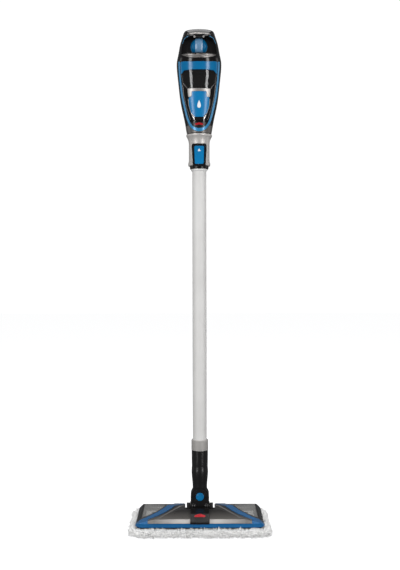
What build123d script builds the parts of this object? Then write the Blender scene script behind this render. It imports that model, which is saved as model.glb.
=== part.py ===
from build123d import *
import math
import os

# Upright steam mop. Millimetres, +Z up, front (tank side) towards -Y, origin under the pad centre.

# ---- floor head -------------------------------------------------------------------------------
PAD_X, PAD_Y, PAD_Z, PAD_R = 338.0, 186.0, 17.0, 30.0
BASE_Z0, BASE_Z1 = 19.2, 22.2
COVER_X, COVER_Y, COVER_Z0, COVER_R = 300.0, 150.0, 22.5, 17.0
COVER_WALL = 2.4
NOTCH_X, NOTCH_Y = 36.5, -18.5
# ---- knuckle ----------------------------------------------------------------------------------
PITCH_Z = 50.0
TILT_Z = 76.0
HUB_R, HUB_X = 10.0, 23.3
CHEEK_R, CHEEK_Y0, CHEEK_Y1 = 22.0, 7.0, 14.0
PIN_R, TILT_PIN_R, BORE = 4.0, 4.5, 0.05
EAR_X0, EAR_X1 = 23.6, 31.6
# ---- wand -------------------------------------------------------------------------------------
TUBE_R, TUBE_WALL, TUBE_Z0, TUBE_Z1 = 16.75, 1.3, 152.0, 877.0
NECK_TOP, FERRULE_Z0, FERRULE_Z1 = 186.2, 186.5, 211.0
SOCKET_R = 17.05
COLLAR_Z0, COLLAR_TOP = 864.3, 937.5
SPIGOT_R, SPIGOT_Z0 = 18.4, 884.0
# ---- handset ----------------------------------------------------------------------------------
WALL = 2.5
SPLIT_Y = 4.0
FAIRING_LOW, FAIRING_TOP = 939.4, 957.0
BAY_FLOOR = -10.0
# horizontal sections of the handset: height, half width, centre y, half depth
SECTIONS = [
    (FAIRING_LOW, 29.0, 0.0, 28.9),
    (958.0, 32.4, -1.0, 31.0),
    (981.0, 37.0, -3.0, 34.0),
    (1010.0, 43.2, -6.0, 37.5),
    (1036.0, 46.8, -8.0, 40.0),
    (1066.0, 50.0, -9.5, 42.0),
    (1096.0, 52.6, -10.0, 43.0),
    (1118.0, 50.2, -10.0, 42.5),
    (1140.0, 46.0, -9.2, 40.5),
    (1157.0, 41.8, -7.8, 37.0),
    (1168.0, 38.4, -6.0, 33.2),
    (1176.0, 35.9, -4.6, 28.6),
    (1180.0, 32.4, -3.4, 21.5),
]
GRIP_Y, GRIP_TOP, GRIP_BOT = 78.0, 1159.0, 1009.0
TRIGGER_Y, TRIGGER_Z = 74.0, 1127.0
LATCH_Y, LATCH_Z, LATCH_R = -21.0, 1138.8, 20.2
HOOK_Z = 971.0
VALVE_Z, STOPPER_Z = 984.0, 1064.0
SCREWS = [(22.0, 1089.0, 21.0), (20.0, 1000.0, 19.0)]


# ---- small helpers ----------------------------------------------------------------------------
def prism_x(sk, x0, x1):
    """A profile drawn as (y, z) pushed along X."""
    return extrude(Plane.YZ.offset(x0) * sk, amount=x1 - x0, dir=(1, 0, 0))


def prism_y(sk, y0, y1):
    """A profile drawn as (x, z) pushed along Y."""
    return extrude(Plane.XZ.offset(-y1) * sk, amount=y1 - y0, dir=(0, -1, 0))


def prism_z(sk, z0, z1):
    """A profile drawn as (x, y) pushed along Z."""
    return extrude(Plane.XY.offset(z0) * sk, amount=z1 - z0, dir=(0, 0, 1))


def block(x0, x1, y0, y1, z0, z1):
    """Axis-aligned block between two corners."""
    return Pos((x0 + x1) / 2, (y0 + y1) / 2, (z0 + z1) / 2) * Box(x1 - x0, y1 - y0, z1 - z0)


def poly(pts):
    """Closed straight-sided outline."""
    return Polygon(*pts, align=None)


def soft_poly(pts, r):
    """Closed outline with rounded corners."""
    return make_face(FilletPolyline(*pts, radius=r, close=True))


def both(half):
    """Right-hand outline points (top to bottom) mirrored into a closed outline."""
    return half + [(-x, z) for x, z in reversed(half)]


def rod(axis, centre, r, a0, a1):
    """Round bar along X, Y or Z; centre gives the two other coordinates."""
    if axis == "x":
        return prism_x(Pos(*centre) * Circle(r), a0, a1)
    if axis == "y":
        return prism_y(Pos(*centre) * Circle(r), a0, a1)
    return prism_z(Pos(*centre) * Circle(r), a0, a1)


def turned(pts):
    """Ring turned about the Z axis from (radius, z) points."""
    return revolve(Plane.XZ * poly(pts), axis=Axis.Z)


def coil(r, wire, length, turns):
    """Compression spring along +Z from the origin."""
    pitch = (length - 2 * wire) / turns
    path = Helix(pitch=pitch, height=length - 2 * wire, radius=r)
    start = Plane(origin=path @ 0, z_dir=path % 0)
    return Pos(0, 0, wire) * sweep(start * Circle(wire), path)


def coil_y(x, y0, z, r, wire, length, turns):
    """Compression spring along +Y."""
    return Pos(x, y0, z) * (Rot(-90, 0, 0) * coil(r, wire, length, turns))


# ---- handset envelope -------------------------------------------------------------------------
def hull(grow):
    """Whole outer form of the handset, moved in or out by grow."""
    faces = []
    last = len(SECTIONS) - 1
    for i, (z, a, yc, b) in enumerate(SECTIONS):
        lift = grow if i == last else 0.0
        faces.append(Pos(0, yc, z + lift) * Ellipse(a + grow, b + grow))
    return loft(faces)


def tank_outline(grow):
    """Front outline of the tank and its bay."""
    g = grow
    half = [(18.0, 1098.4 + g), (43.8 + g, 1101.6 + g), (42.4 + g, 1077), (39.4 + g, 1053.5 - g),
            (28.4 + g, 1038.6 - g), (26.9 + g, 1018), (25.4 + g, 1001), (19.8 + g, 983.5 - g * 0.4),
            (12.0 + g, 966.5 - g)]
    return soft_poly(both(half), 3.0)


def u_face(half, low):
    """U-shaped face from its right-hand points and its lowest height."""
    pts = half + [(0, low)] + [(-x, z) for x, z in reversed(half)]
    curve = Spline(*pts)
    return make_face(curve + Line(pts[-1], pts[0]))


def u_outline(grow):
    """Outer edge of the blue line that frames the bay."""
    g = grow
    half = [(48.2 + g, 1103.0), (47.4 + g, 1080), (45.1 + g, 1051.5), (41.6 + g, 1023),
            (35.0 + g, 994), (27.2 + g, 966 - g * 0.3), (16.4 + g, 948.6 - g * 0.8)]
    return u_face(half, 942.0 - g)


def u_inner(grow):
    """Inner edge of the blue line, narrow beside the tank and wide at the bottom."""
    g = grow
    half = [(44.9 + g, 1103.0), (43.7 + g, 1080), (41.0 + g, 1051.5), (36.8 + g, 1021),
            (30.0 + g, 992), (22.4 + g, 966 - g * 0.3), (13.6 + g, 953.8 - g * 0.8)]
    return u_face(half, 949.4 - g)


def recess_outline(grow):
    """Front outline of the finger recess above the tank."""
    g = grow
    half = [(20.0 + g, 1160.6 + g), (32.0 + g, 1155.6 + g), (38.4 + g, 1141), (41.4 + g, 1118.8 - g)]
    return soft_poly(both(half), 3.0)


def lip_outline(grow):
    """Front outline of the smile-shaped silver lip under the recess."""
    g = grow
    half = [(16.0, 1116.0 + g), (38.8 + g, 1117.6 + g), (37.6 + g, 1114.8 - g), (27.0 + g, 1109.8 - g),
            (12.0 + g, 1107.0 - g)]
    return poly(both(half))


def arch_outline(grow):
    """Front outline of the silver arch at the top."""
    g = grow
    half = [(14.0, 1168.2 + g), (26.6 + g, 1167.4 + g), (28.6 + g, 1165.4 - g), (14.0, 1164.2 - g)]
    return poly(both(half))


def panel_outline(grow):
    """Front outline of the blue shield, narrow at the top."""
    g = grow
    half = [(17.2 + g, 1031.2 + g), (17.4 + g, 1020.4 + g), (24.2 + g, 1017.6 + g), (22.6 + g, 997),
            (18.2 + g, 984 - g), (9.6 + g, 974.4 - g)]
    return soft_poly(both(half), 2.4)


def trim_bands(grow):
    """Solid that marks out every inlaid line on the handset front."""
    ring = prism_y(u_outline(grow), -90, -3) - prism_y(u_inner(-grow), -91, -2)
    return ring


# ---- handset ----------------------------------------------------------------------------------
def cavity():
    """Hollow of the handset, kept clear of the tank bay and the finger recess."""
    room = hull(-WALL) & block(-80, 80, -80, 80, FAIRING_LOW + 2.0, 1180)
    room -= prism_y(tank_outline(3.0), -90, BAY_FLOOR + 2.5)
    room -= prism_y(recess_outline(2.6), -90, -13.6)
    return room


def boss_set(y0, y1, r):
    """The four screw columns between the handset halves."""
    out = None
    for x, z, _ in SCREWS:
        for s in (1, -1):
            bar = rod("y", (s * x, z), r, y0, y1)
            out = bar if out is None else out + bar
    return out


def front_housing(solid, room):
    """Black front half of the handset with the tank bay and finger recess."""
    body = solid & block(-80, 80, -90, SPLIT_Y - 0.15, FAIRING_TOP + 0.2, 1200)
    body -= room
    body += boss_set(-8.0, SPLIT_Y - 0.15, 5.0)
    body -= boss_set(-6.0, SPLIT_Y + 1, 1.65)
    body -= prism_y(tank_outline(0.5), -90, BAY_FLOOR)
    body -= prism_y(recess_outline(0.0), -90, -16.0)
    body -= trim_bands(0.3) - hull(-1.8)
    body -= (prism_y(lip_outline(0.3), -90, -14) - hull(-1.5)) & block(-60, 60, -90, -14, 1100, 1130)
    body -= prism_y(arch_outline(0.3), -90, -8.0) - hull(-1.4)
    body -= (prism_y(u_inner(-0.3), -90, -3) - hull(-2.3)) & block(-60, 60, -90, 0, 935, 963.3)
    body -= rod("y", (0, VALVE_Z), 5.6, -12, -4)
    body -= rod("y", (0, LATCH_Z + 2), 5.0, -20, -12)
    return body


def grip_path():
    """Centre line of the loop handle."""
    pts = [(0, 10, GRIP_TOP - 3), (0, GRIP_Y, GRIP_TOP), (0, GRIP_Y, GRIP_BOT + 22), (0, 12, GRIP_BOT - 8)]
    return FilletPolyline(*pts, radius=24)


def grip_loop(grow):
    """Loop handle, an oval bar swept along its centre line."""
    path = grip_path()
    start = Plane(origin=path @ 0, x_dir=(1, 0, 0), z_dir=path % 0)
    return sweep(start * Ellipse(15.0 + grow, 12.0 + grow), path)


def rear_housing(solid, room):
    """Black rear half with the loop handle."""
    body = solid & block(-80, 80, SPLIT_Y + 0.15, 90, FAIRING_TOP + 0.2, 1200)
    loop = grip_loop(0.0) & block(-40, 40, SPLIT_Y + 0.15, 120, 900, 1178)
    body += loop - (hull(-1.0) & block(-80, 80, -80, 18, 900, 1178))
    body += rod("y", (0, HOOK_Z), 9.0, 20, 38.0)
    body -= room
    body += boss_set(SPLIT_Y + 0.15, 32, 5.0) & hull(-0.5)
    body -= boss_set(SPLIT_Y - 1, 60, 2.0) & hull(20)
    for x, z, y in SCREWS:
        for s in (1, -1):
            body -= rod("y", (s * x, z), 3.6, y, 45) & block(-60, 60, 0, 45, 982, 1101)
    body -= block(-7.5, 7.5, 55, 86, 1081, 1133)
    body -= rod("x", (TRIGGER_Y, TRIGGER_Z), 2.05, -12.3, 12.3)
    body -= rod("z", (0, 42.0), 6.3, 1162, 1200)
    body -= rod("z", (0, 58.0), 5.3, 1162, 1200)
    body -= rod("y", (0, HOOK_Z), 3.05, 26, 40)
    return body


def lower_fairing():
    """Graphite cup that closes the bottom of the handset."""
    body = hull(0.0) & block(-80, 80, -80, 80, FAIRING_LOW, FAIRING_TOP - 0.1)
    body -= hull(-WALL) & block(-80, 80, -80, 80, FAIRING_LOW + 2.0, 965)
    body -= rod("z", (0, 0), SPIGOT_R + 0.3, 930, 948)
    body -= trim_bands(0.3) - hull(-1.8)
    body -= prism_y(u_inner(-0.3), -90, -3) - hull(-2.3)
    body -= rod("y", (15.0, 949.6), 5.3, 15, 40)
    return body


def bay_trim():
    """Light metallic blue line around the tank bay."""
    return trim_bands(0.0) & (hull(0.9) - hull(-1.5)) & block(-60, 60, -90, -6, FAIRING_LOW + 0.4, 1103)


def bay_apron():
    """Dark grey plate between the tank and the bottom of the blue line."""
    skin = hull(0.2) - hull(-2.0)
    plate = prism_y(u_inner(-0.6), -90, -10) & skin
    return plate & block(-60, 60, -90, -10, 940, 962.9)


def recess_liner():
    """Dark back plate of the finger recess."""
    plate = prism_y(recess_outline(-0.3), -18.6, -16.3)
    return plate - rod("y", (0, LATCH_Z + 2), 5.0, -20, -15)


def recess_lip():
    """Silver lip in front of the recess floor."""
    band = prism_y(lip_outline(0.0), -90, -15) & (hull(1.4) - hull(-1.2))
    return band - block(-9.5, -7.0, -90, -15, 1113.6, 1120)


def top_trim():
    """Thin silver arch near the top of the handset."""
    return prism_y(arch_outline(0.0), -90, -8.5) & (hull(0.6) - hull(-1.1))


def grip_inlay():
    """Soft pad on the back of the loop handle."""
    zone = block(-11, 11, GRIP_Y + 3, 100, 1043, 1131)
    skin = grip_loop(1.5) - grip_loop(0.3)
    return skin & zone


def spigot():
    """Tube that plugs the handset into the wand collar."""
    body = turned([(14.0, SPIGOT_Z0), (SPIGOT_R - 1.0, SPIGOT_Z0), (SPIGOT_R, SPIGOT_Z0 + 2),
                   (SPIGOT_R, 941.7), (25.0, 941.7), (25.0, 945.2), (14.0, 945.2)])
    return body


def cord_gland():
    """Rubber sleeve where the supply lead enters the handset."""
    body = rod("y", (15.0, 949.6), 5.0, 20, 33) + rod("y", (15.0, 949.6), 6.5, 32.4, 36)
    body += Pos(15.0, 36.0, 949.6) * (Rot(-90, 0, 0) * Cone(6.0, 4.0, 14, align=(Align.CENTER, Align.CENTER, Align.MIN)))
    for i in range(3):
        body -= rod("y", (15.0, 949.6), 7.0, 38.5 + 3.6 * i, 39.9 + 3.6 * i) - rod("y", (15.0, 949.6), 3.9, 30, 60)
    return body - rod("y", (15.0, 949.6), 2.9, 15, 60)


def housing_screws():
    """Four screws that hold the handset halves together."""
    out = []
    for x, z, y in SCREWS:
        for s in (1, -1):
            screw = rod("y", (s * x, z), 3.1, y + 0.2, y + 2.4)
            screw += rod("y", (s * x, z), 1.6, -5.5, y + 0.3)
            screw -= Pos(s * x, y + 2.4, z) * Box(1.0, 2.2, 4.2)
            out.append(screw - Pos(s * x, y + 2.4, z) * Box(4.2, 2.2, 1.0))
    return Compound(children=out)


def boiler():
    """Steam boiler behind the tank bay."""
    body = fillet(rod("z", (0, 12.0), 14.5, 1033, 1103).edges(), 3.0)
    body += rod("z", (0, 12.0), 4.0, 1102, 1107.5)
    return body + rod("z", (6.0, 10.0), 4.0, 1030.8, 1035)


def pump():
    """Water pump under the boiler."""
    body = block(-12.5, 12.5, -3, 20, 977, 1009)
    body += rod("z", (0, 8.5), 10.5, 1008, 1018)
    return body + rod("z", (6.0, 10.0), 3.2, 1017, 1022)


def water_hose():
    """Short hose from the pump to the boiler."""
    return rod("z", (6.0, 10.0), 4.6, 1022.2, 1030.6) - rod("z", (6.0, 10.0), 2.2, 1022, 1031)


def control_board():
    """Circuit board behind the finger recess."""
    body = block(-26, 26, 8, 9.6, 1111, 1149)
    body += block(-20, -6, 9.5, 20, 1117, 1131)
    body += rod("y", (12.0, 1137.0), 5.0, 9.5, 19)
    return body + block(-22, -10, 9.5, 14, 1137, 1143)


# ---- buttons, trigger, latch, hooks -----------------------------------------------------------
def trigger():
    """Steam trigger inside the loop."""
    pts = [(68.5, 1132.0), (79.0, 1132.0), (80.0, 1123.0), (75.0, 1086.5), (65.5, 1084.0),
           (61.0, 1090.0), (63.0, 1103.0), (66.0, 1121.0)]
    body = prism_x(soft_poly(pts, 2.5), -7.1, 7.1)
    return body - rod("x", (TRIGGER_Y, TRIGGER_Z), 2.05, -20, 20)


def trigger_pin():
    """Pivot of the trigger."""
    return rod("x", (TRIGGER_Y, TRIGGER_Z), 2.0, -12.0, 12.0)


def trigger_spring():
    """Return spring behind the trigger."""
    return coil_y(0, 76.6, 1093.0, 2.6, 0.45, 9.1, 4)


def microswitch():
    """Switch worked by the trigger."""
    body = block(-4.5, 4.5, 83.2, 85.7, 1101, 1117)
    return body + block(-1.2, 1.2, 82.3, 83.4, 1111, 1113.5)


def round_button(y, r):
    """Small domed push button on top of the loop."""
    body = rod("z", (0, y), r, 1164.2, 1172.4)
    return fillet(body.edges().group_by(Axis.Z)[-1], 1.4)


def tank_latch():
    """Blue barrel that frees the tank when pressed."""
    body = Pos(0, LATCH_Y, LATCH_Z) * Sphere(LATCH_R)
    rib = Pos(0, LATCH_Y, LATCH_Z) * Sphere(LATCH_R + 0.9) & block(-8.8, 8.8, -60, -20, 1100, 1200)
    body = (body + rib) & block(-30, 30, -60, -22.4, 1119.4, 1200)
    return body + rod("y", (0, LATCH_Z + 2), 2.2, -22.5, -18.9)


def latch_spring():
    """Spring behind the tank latch."""
    return coil_y(0, -22.2, LATCH_Z + 2, 3.6, 0.5, 8.4, 4)


def cord_hook_upper():
    """Upper cord hook, turns to drop the wound lead."""
    body = rod("y", (0, HOOK_Z), 8.5, 38.3, 42.0)
    low = HOOK_Z - 4
    arm = [(41, low), (60, low), (60, low + 26), (54, low + 26), (54, low + 8), (41, low + 8)]
    body += prism_x(soft_poly(arm, 2.2), -6, 6)
    return body + rod("y", (0, HOOK_Z), 3.0, 27, 39)


def cord_hook_lower():
    """Lower cord hook clamped around the tube."""
    body = rod("z", (0, 0), TUBE_R + 3.2, 552, 592) - rod("z", (0, 0), TUBE_R + 0.05, 540, 600)
    body &= block(-11.5, 11.5, 5.0, 40, 540, 600)
    arm = prism_x(soft_poly([(17.5, 570), (46, 570), (46, 540), (40, 540), (40, 562), (17.5, 562)], 2.2), -6, 6)
    return body + (arm - rod("z", (0, 0), TUBE_R + 1.0, 530, 600))


# ---- tank -------------------------------------------------------------------------------------
def collar_zone(g):
    """Front outline of the blue band, with a short tab down each side."""
    half = [(60, 1130), (60, 1074.4 - g), (39.6, 1074.4 - g), (34.4, 1080.4 - g)]
    return poly(both(half))


def tank_shell():
    """Clear smoke water tank."""
    body = hull(-0.3) & prism_y(tank_outline(0.0), -90, BAY_FLOOR - 0.4)
    body -= prism_y(collar_zone(0.3), -90, 0)
    room = hull(-2.6) & prism_y(tank_outline(-2.3), -90, BAY_FLOOR - 2.8)
    body -= room - prism_y(collar_zone(2.7), -90, 0)
    body -= rod("y", (0, STOPPER_Z), 12.3, -16, -5)
    return body - rod("y", (0, VALVE_Z), 4.0, -16, -5)


def tank_collar():
    """Blue band across the top of the tank."""
    body = hull(0.7) & prism_y(tank_outline(0.0), -90, BAY_FLOOR - 0.4)
    body &= prism_y(collar_zone(0.0), -90, 0) & block(-60, 60, -90, 0, 1070, 1110)
    room = hull(-3.0) & prism_y(tank_outline(-3.0), -90, BAY_FLOOR - 3.0)
    return body - (room & block(-60, 60, -90, 0, 1070, 1110))


def tank_panel():
    """Blue shield on the lower front of the tank."""
    return prism_y(panel_outline(0.0), -90, -14) & (hull(1.5) - hull(0.0))


def tank_ledge():
    """Silver-grey step above the blue shield, with a leg down each side of its neck."""
    half = [(26.8, 1037.6), (25.2, 1019.4)]
    plate = prism_y(soft_poly(both(half), 1.5), -90, -14) - prism_y(panel_outline(0.3), -95, -10)
    return plate & (hull(1.9) - hull(0.0))


def fill_cap():
    """Stopper in the back wall of the tank."""
    body = rod("y", (0, STOPPER_Z), 12.0, -14.5, -10.9)
    return body - (rod("y", (0, STOPPER_Z), 9.0, -12.4, -8) - block(-1.5, 1.5, -20, 0, STOPPER_Z - 15, STOPPER_Z + 15))


def outlet_valve():
    """Tank outlet that seats in the bay floor."""
    body = rod("y", (0, VALVE_Z), 3.9, -15, -10.6) + rod("y", (0, VALVE_Z), 5.2, -10.35, -4.6)
    return body + rod("y", (0, VALVE_Z), 3.9, -10.7, -10.3) - rod("y", (0, VALVE_Z), 1.8, -20, 0)


# ---- wand -------------------------------------------------------------------------------------
def collar_shell():
    """Silver collar that receives the handset."""
    with BuildLine() as edge:
        Polyline((SOCKET_R, COLLAR_Z0), (25.8, COLLAR_Z0), (26.4, 869), (24.6, 876), (24.6, 914))
        ThreePointArc((24.6, 914), (26.0, 924.5), (29.8, 932.8))
        Polyline((29.8, 932.8), (30.6, 934.4), (30.6, COLLAR_TOP), (SPIGOT_R + 0.4, COLLAR_TOP),
                 (SPIGOT_R + 0.4, 882), (12, 882), (12, 878), (SOCKET_R, 878), (SOCKET_R, COLLAR_Z0))
    body = revolve(Plane.XZ * make_face(edge.edges()), axis=Axis.Z)
    return body - rod("y", (0, 889.0), 4.0, -30, -20.5)


def bezel_outline(w, top, low, r, taper):
    """Round-cornered outline, slightly narrower at its foot."""
    return soft_poly(both([(w - 0.3, top), (w, top - 9.0), (w - taper, low)]), r)


def release_bezel():
    """Black frame of the release button, seated on the collar."""
    body = prism_y(bezel_outline(17.5, 913.6, 861.0, 4.6, 2.6), -30.2, -13.0)
    body -= turned([(0, 850), (26.7, 850), (26.7, 869.3), (24.9, 876.3), (24.9, 930), (0, 930)])
    body -= prism_y(bezel_outline(11.7, 908.1, 865.4, 3.4, 1.1), -40, -10)
    return body & block(-40, 40, -40, 0, 855, 916)


def release_button():
    """Blue button that frees the handset."""
    body = prism_y(bezel_outline(11.3, 907.7, 865.9, 3.0, 1.0), -32.4, -10.0)
    body -= rod("z", (0, 0), 30.0, 855, 930)
    return body + rod("y", (0, 889.0), 1.9, -31, -26.4)


def release_spring():
    """Spring under the release button."""
    return coil_y(0, -29.8, 889.0, 3.1, 0.45, 9.0, 4)


def wand_tube():
    """Long aluminium tube."""
    return rod("z", (0, 0), TUBE_R, TUBE_Z0, TUBE_Z1) - rod("z", (0, 0), TUBE_R - TUBE_WALL, 140, 900)


def wand_hose():
    """Steam hose inside the tube."""
    return rod("z", (0, 0), 4.5, 130.5, 888) - rod("z", (0, 0), 2.5, 120, 900)


def ring_dark():
    """Black ring under the collar."""
    return turned([(SOCKET_R, 856.8), (21.3, 856.8), (21.8, 858), (22.6, 864.0), (SOCKET_R, 864.0)])


def ring_light():
    """Pale ring under the black one."""
    return turned([(SOCKET_R, 852.6), (18.6, 852.6), (19.2, 853.6), (19.2, 856.5), (SOCKET_R, 856.5)])


def ferrule():
    """Grey ring where the tube enters the neck."""
    return turned([(SOCKET_R, FERRULE_Z0), (20.1, FERRULE_Z0), (20.1, 209.5), (18.8, FERRULE_Z1),
                   (SOCKET_R, FERRULE_Z1)])


def neck():
    """Black neck with the tongue that hangs in the knuckle."""
    with BuildLine() as edge:
        Polyline((0, 80), (17.4, 80), (17.4, 99))
        Spline((17.4, 99), (18.3, 112), (19.5, 126), (19.7, 139), (19.1, 146), (19.3, 152))
        Polyline((19.3, 152), (19.7, NECK_TOP), (SOCKET_R, NECK_TOP), (SOCKET_R, 150), (0, 150), (0, 80))
    body = revolve(Plane.XZ * make_face(edge.edges()), axis=Axis.Z)
    body -= rod("y", (0, TILT_Z), CHEEK_R + 0.6, -40, 40)
    body += block(-14.5, 14.5, -6.6, 6.6, TILT_Z, 101) + rod("y", (0, TILT_Z), 14.5, -6.6, 6.6)
    body -= rod("y", (0, TILT_Z), TILT_PIN_R + BORE, -20, 20)
    return body - rod("z", (0, 0), 4.8, 130, 160)


# ---- knuckle ----------------------------------------------------------------------------------
def swivel_fork():
    """Black fork between the floor head and the neck."""
    plate = Pos(0, TILT_Z) * Circle(CHEEK_R) + poly([(-22, 76), (22, 76), (22, 60), (15, 42), (-15, 42), (-22, 60)])
    body = prism_y(plate, -CHEEK_Y1, -CHEEK_Y0) + prism_y(plate, CHEEK_Y0, CHEEK_Y1)
    body += rod("x", (0, PITCH_Z), HUB_R, -HUB_X, HUB_X)
    for s in (1, -1):
        body += Pos(s * 15.2, -9.5, 53.0) * Sphere(7.8)
    for r in (18.0, 13.2):
        groove = rod("y", (0, TILT_Z), r, -15, -13.2) - rod("y", (0, TILT_Z), r - 1.0, -16, -12)
        body -= groove & block(-30, 30, -16, -12, 66, 110)
    body -= rod("y", (0, TILT_Z), TILT_PIN_R + BORE, -20, 20)
    return body - rod("x", (0, PITCH_Z), PIN_R + BORE, -30, 30)


def tilt_pin():
    """Front-to-back pin of the knuckle."""
    return rod("y", (0, TILT_Z), TILT_PIN_R, -14.0, 14.0)


def pin_cap():
    """Blue cap over the tilt pin."""
    body = rod("y", (0, TILT_Z), 9.6, -17.8, -14.3)
    body = fillet(body.edges().group_by(Axis.Y)[0], 1.6)
    return body - (rod("y", (0, TILT_Z), 6.8, -18, -17.2) - rod("y", (0, TILT_Z), 5.8, -19, -17))


def pitch_pin():
    """Left-to-right pin of the knuckle."""
    return rod("x", (0, PITCH_Z), PIN_R, -31.4, 31.4)


# ---- floor head -------------------------------------------------------------------------------
def head_form(g):
    """Outer form of the head cover, moved in or out by g."""
    side = poly([(-75 - g, 10), (-75 - g, 30.5 + g * 0.5), (-66.5, 38 + g), (-22, 47.5 + g), (4, 47.5 + g),
                 (75 + g, 31 + g), (75 + g, 10)])
    front = poly([(-150 - g, 10), (-150 - g, 25.5 + g * 0.5), (-141, 31.5 + g), (-108, 38 + g), (-40, 49 + g),
                  (40, 49 + g), (108, 38 + g), (141, 31.5 + g), (150 + g, 25.5 + g * 0.5), (150 + g, 10)])
    plan = RectangleRounded(COVER_X + 2 * g, COVER_Y + 2 * g, COVER_R + g)
    form = prism_x(side, -160, 160) & prism_y(front, -90, 90)
    return form & prism_z(plan, COVER_Z0, 60)


def mirrored(pts, s):
    """Plan points drawn for the left side, s = 1 left and -1 right."""
    return [(s * x, y) for x, y in pts]


def window_plan(s, g):
    """Triangular window outline, s = side, g = growth."""
    with BuildLine() as edge:
        pts = mirrored([(-137 - g, 68 + g), (-137 - g, -33 - 2 * g)], s)
        Polyline(*pts)
        Spline(*mirrored([(-137 - g, -33 - 2 * g), (-119 + 0.5 * g, -22.5 - g), (-88.5 + g, 18), (-69.5 + 1.2 * g, 68 + g)], s))
        Line(*mirrored([(-69.5 + 1.2 * g, 68 + g), (-137 - g, 68 + g)], s))
    return make_face(edge.edges())


def band_plan(s, g):
    """Blue band curving from a front corner to the back."""
    with BuildLine() as edge:
        Polyline(*mirrored([(-62 - g, 78), (-38 + g, 78)], s))
        Spline(*mirrored([(-38 + g, 78), (-58 + g, 18), (-89 + g, -32 - g), (-121, -56 - g)], s))
        Polyline(*mirrored([(-121, -56 - g), (-121, -78), (-152, -78), (-152, -60 + g)], s))
        Spline(*mirrored([(-152, -60 + g), (-139.5, -50 + g), (-111 - g, -26 + g), (-82 - g, 18), (-62 - g, 78)], s))
    return make_face(edge.edges())


def cap_plan(s, g):
    """End cap outline at one side of the head."""
    pts = [(-152, -59.4 - 1.5 * g), (-140 + g, -49.9 - 1.2 * g), (-140 + g, 77), (-152, 77)]
    return poly(mirrored(pts, s))


def rib_plan(s, g):
    """Thin silver rib from the front corner of the centre panel to the knuckle."""
    pts = [(-99 - g, -62 - g), (-94, -62 - g), (-36.8, 12 - g), (-36.8, 19 + g)]
    return poly(mirrored(pts, s))


def band_zone(g):
    """Everything covered by the blue frame of the head."""
    zone = prism_z(band_plan(1, g), 15, 60) + prism_z(band_plan(-1, g), 15, 60)
    return zone + block(-124, 124, -80, -70.5 + g, 15, 30.8 + g)


def strip_zone(g):
    """Everything covered by the silver front strips and ribs."""
    zone = None
    for s in (1, -1):
        x0 = s * (22.6 - g)
        x1 = s * (107.0 + g)
        bar = block(min(x0, x1), max(x0, x1), -80, -64.0 + g, 31.4 - g, 60)
        bar += prism_z(rib_plan(s, g), 25, 60)
        zone = bar if zone is None else zone + bar
    return zone


def notch(g):
    """Clearance for the knuckle at the back of the head."""
    return block(-NOTCH_X - g, NOTCH_X + g, NOTCH_Y - g, 90, 10, 70)


def screw_spots():
    """Screw positions in the head."""
    return [(-118.0, -52.0), (118.0, -52.0), (-48.0, -50.0), (48.0, -50.0), (-46.0, 20.0), (46.0, 20.0)]


def foot_cover(form, inner):
    """Graphite cover of the head."""
    room = inner - notch(2.6)
    body = form - room
    for x, y in screw_spots():
        body += rod("z", (x, y), 4.6, COVER_Z0, 55) & head_form(-1.0)
        body -= rod("z", (x, y), 1.65, 20, 29)
    body -= notch(0.0)
    for s in (1, -1):
        body -= prism_z(window_plan(s, 0.3), 10, 70)
        body -= prism_z(cap_plan(s, 0.3), 10, 70)
    body -= band_zone(0.3) - head_form(-1.5)
    return body - (strip_zone(0.3) - head_form(-1.5))


def foot_trim():
    """Blue frame of the head."""
    skin = head_form(0.9) - head_form(-1.2)
    body = skin & band_zone(0.0)
    body -= block(-37, 37, 40, 90, 10, 70)
    for s in (1, -1):
        body -= prism_z(window_plan(s, 0.3), 10, 70)
    return body


def front_strips():
    """Silver strips along the front of the head."""
    return (head_form(0.5) - head_form(-1.2)) & strip_zone(0.0) - band_zone(0.3)


def end_cap(s, form, inner):
    """Black end cap of the head."""
    body = (form - inner) & prism_z(cap_plan(s, 0.0), 10, 70)
    return body - (band_zone(0.3) - head_form(-1.5))


def window(s, form, inner):
    """Clear triangular window."""
    return (form - head_form(-2.0)) & prism_z(window_plan(s, 0.0), 25.0, 70)


def badge_block():
    """Black centre block in front of the knuckle."""
    pts = [(-20.5, 44), (-20.5, 52.5), (-30, 52.5), (-52, 47), (-74, 36.5), (-76.8, 34), (-76.8, 30), (-60, 30)]
    body = prism_x(poly(pts), -22, 22)
    body = fillet(body.edges().filter_by(Axis.X).group_by(Axis.Z)[-1], 2.0)
    return body - head_form(1.2)


def foot_base():
    """Base plate with the two ears of the knuckle."""
    body = prism_z(RectangleRounded(296, 146, 15), BASE_Z0, BASE_Z1)
    for s in (1, -1):
        body -= prism_z(window_plan(s, -5.0), 10, 30)
        x0 = min(s * EAR_X0, s * EAR_X1)
        ear = Pos(0, PITCH_Z) * Circle(7.4) + poly([(-7.4, PITCH_Z), (7.4, PITCH_Z), (13, 21.5), (-13, 21.5)])
        body += prism_x(ear, x0, x0 + EAR_X1 - EAR_X0)
    body -= rod("x", (0, PITCH_Z), PIN_R + BORE, -40, 40)
    for x, y in screw_spots():
        body -= rod("z", (x, y), 1.9, 18, 24) + rod("z", (x, y), 3.6, 18, 20.9)
    return body - rod("z", (0, -45), 3.2, 15, 25)


def steam_manifold():
    """Steam chamber over the outlet in the base."""
    body = rod("z", (0, -45), 15, 22.5, 34) + rod("y", (0, 29.0), 4.0, -45, -22)
    return body - rod("z", (0, -45), 3.0, 20, 30)


def hook_strips():
    """Hook-fabric strips that hold the pad."""
    out = []
    for y in (-38.0, 38.0):
        strip = prism_z(Pos(0, y) * RectangleRounded(236, 24, 4), 17.3, 18.9)
        out.append(strip)
    return Compound(children=out)


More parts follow.
